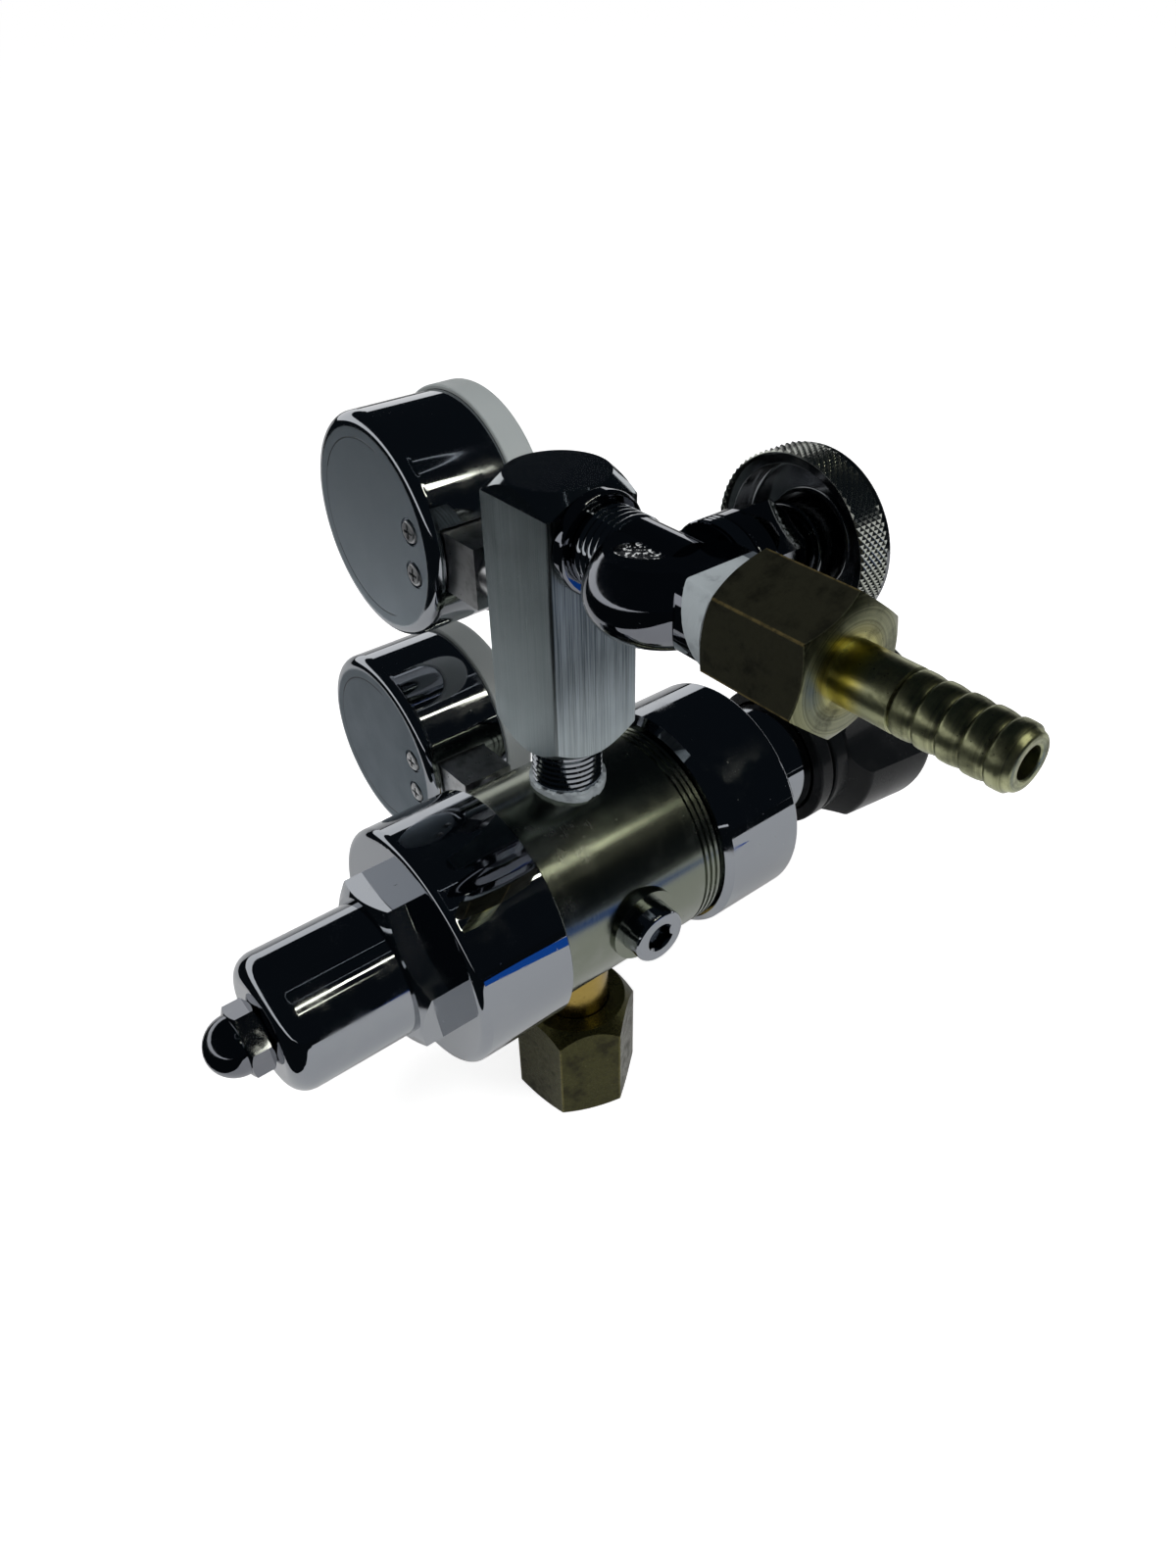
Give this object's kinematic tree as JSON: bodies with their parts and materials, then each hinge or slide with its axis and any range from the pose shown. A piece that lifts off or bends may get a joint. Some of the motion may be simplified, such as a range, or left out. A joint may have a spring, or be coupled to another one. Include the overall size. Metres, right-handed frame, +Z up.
{
  "type": "gas pressure regulator",
  "caption": "Two-stage gas pressure regulator with two bonnets on a round body, gauges on a square block, needle valve, hose barb and brass inlet nut.",
  "frame": {"origin": "centre of the inlet nut's open mouth, on the axis of its thread", "axes": "+Z up along the inlet axis; +X along the regulator axis from the preset bonnet to the adjusting knob; the gauges stand on the +Y side and the hose barb points to -Y"},
  "size_m": [0.2019, 0.2055, 0.1843],
  "materials": {
    "chrome": "polished",
    "brushed_nickel": "brushed",
    "steel": "plain",
    "plated_steel": "zinc plated",
    "spring_steel": "oiled",
    "diaphragm": "matt",
    "bright_brass": "machined",
    "aged_brass": "aged and worn",
    "sintered_bronze": "sintered",
    "black_plastic": "satin",
    "bezel_grey": "satin",
    "clear_window": "clear",
    "dial_white": "matt",
    "pointer_black": "matt"
  },
  "bodies": {
    "regulator": {"preset_bonnet": "chrome", "preset_slip_ring": "steel", "preset_diaphragm": "diaphragm", "preset_nozzle": "bright_brass", "preset_poppet_spring": "spring_steel", "preset_spring": "spring_steel", "preset_spring_button": "plated_steel", "preset_screw": "plated_steel", "adjusting_bonnet": "chrome", "adjusting_slip_ring": "steel", "adjusting_diaphragm": "diaphragm", "adjusting_nozzle": "bright_brass", "adjusting_poppet_spring": "spring_steel", "adjusting_spring": "spring_steel", "main_body": "chrome", "acorn_nut": "chrome", "port_plug": "chrome", "gauge_block": "brushed_nickel", "block_nipple": "chrome", "valve_collar": "chrome", "valve_body": "chrome", "valve_bonnet": "chrome", "valve_gland": "chrome", "hose_barb": "aged_brass", "inlet_nipple": "aged_brass", "inlet_filter": "sintered_bronze", "top_gauge_case": "chrome", "top_gauge_bezel": "bezel_grey", "top_gauge_window": "clear_window", "top_gauge_dial": "dial_white", "top_gauge_tube": "bright_brass", "top_gauge_stem": "chrome", "top_gauge_screw_upper": "plated_steel", "top_gauge_screw_lower": "plated_steel", "back_gauge_case": "chrome", "back_gauge_bezel": "bezel_grey", "back_gauge_window": "clear_window", "back_gauge_dial": "dial_white", "back_gauge_tube": "bright_brass", "back_gauge_stem": "chrome", "back_gauge_screw_upper": "plated_steel", "back_gauge_screw_lower": "plated_steel"},
    "inlet_coupling": {"inlet_nut": "aged_brass"},
    "preset_valve": {"preset_plate": "plated_steel", "preset_poppet": "bright_brass"},
    "adjusting_valve": {"adjusting_plate": "plated_steel", "adjusting_poppet": "bright_brass"},
    "spring_seat": {"adjusting_spring_button": "plated_steel"},
    "knob": {"adjusting_knob": "black_plastic", "adjusting_knob_cap": "black_plastic", "adjusting_screw": "plated_steel"},
    "needle": {"valve_needle": "plated_steel"},
    "handwheel": {"valve_spindle": "plated_steel", "handwheel": "chrome", "handwheel_nut": "chrome"},
    "top_pointer": {"top_gauge_pointer": "pointer_black"},
    "top_sector": {"top_gauge_sector": "bright_brass"},
    "back_pointer": {"back_gauge_pointer": "pointer_black"},
    "back_sector": {"back_gauge_sector": "bright_brass"}
  },
  "joints": [
    {"name": "inlet_nut_spin", "type": "hinge", "parent": "regulator", "child": "inlet_coupling", "pos_m": [0, 0, 0.015], "axis": [0, 0, 1], "continuous": true},
    {"name": "preset_valve_slide", "type": "slide", "parent": "regulator", "child": "preset_valve", "axis": [-1, 0, 0], "range_m": [0, 0.0007], "stiffness_N_per_m": 400, "deforming": ["preset_spring", "preset_poppet_spring"]},
    {"name": "adjusting_valve_slide", "type": "slide", "parent": "regulator", "child": "adjusting_valve", "axis": [1, 0, 0], "range_m": [0, 0.0007], "stiffness_N_per_m": 400, "deforming": ["adjusting_poppet_spring"]},
    {"name": "knob_advance", "type": "slide", "parent": "regulator", "child": "spring_seat", "axis": [-1, 0, 0], "range_m": [0, 0.005], "deforming": ["adjusting_spring"]},
    {"name": "knob_turn", "type": "hinge", "parent": "spring_seat", "child": "knob", "pos_m": [0.085, 0, 0.078], "axis": [-1, 0, 0], "range_deg": [0, 1440]},
    {"name": "needle_advance", "type": "slide", "parent": "regulator", "child": "needle", "axis": [1, 0, 0], "range_m": [0, 0.0032]},
    {"name": "handwheel_turn", "type": "hinge", "parent": "needle", "child": "handwheel", "pos_m": [0.029, -0.0368, 0.1668], "axis": [1, 0, 0], "range_deg": [0, 1440]},
    {"name": "top_pointer_turn", "type": "hinge", "parent": "regulator", "child": "top_pointer", "pos_m": [0, 0.059, 0.1484], "axis": [-1, 0, 0], "range_deg": [0, 270]},
    {"name": "top_sector_turn", "type": "hinge", "parent": "regulator", "child": "top_sector", "pos_m": [0, 0.048, 0.1484], "axis": [-1, 0, 0], "range_deg": [-46, 1]},
    {"name": "back_pointer_turn", "type": "hinge", "parent": "regulator", "child": "back_pointer", "pos_m": [0, 0.0726, 0.078], "axis": [-1, 0, 0], "range_deg": [0, 270]},
    {"name": "back_sector_turn", "type": "hinge", "parent": "regulator", "child": "back_sector", "pos_m": [0, 0.0616, 0.078], "axis": [-1, 0, 0], "range_deg": [-46, 1]}
  ],
  "couplings": [
    {"joint": "knob_advance", "follows": "knob_turn", "m_per_rad": 0.00019894},
    {"joint": "needle_advance", "follows": "handwheel_turn", "m_per_rad": 0.00012732},
    {"joint": "top_sector_turn", "follows": "top_pointer_turn", "ratio": -0.1667},
    {"joint": "back_sector_turn", "follows": "back_pointer_turn", "ratio": -0.1667}
  ]
}
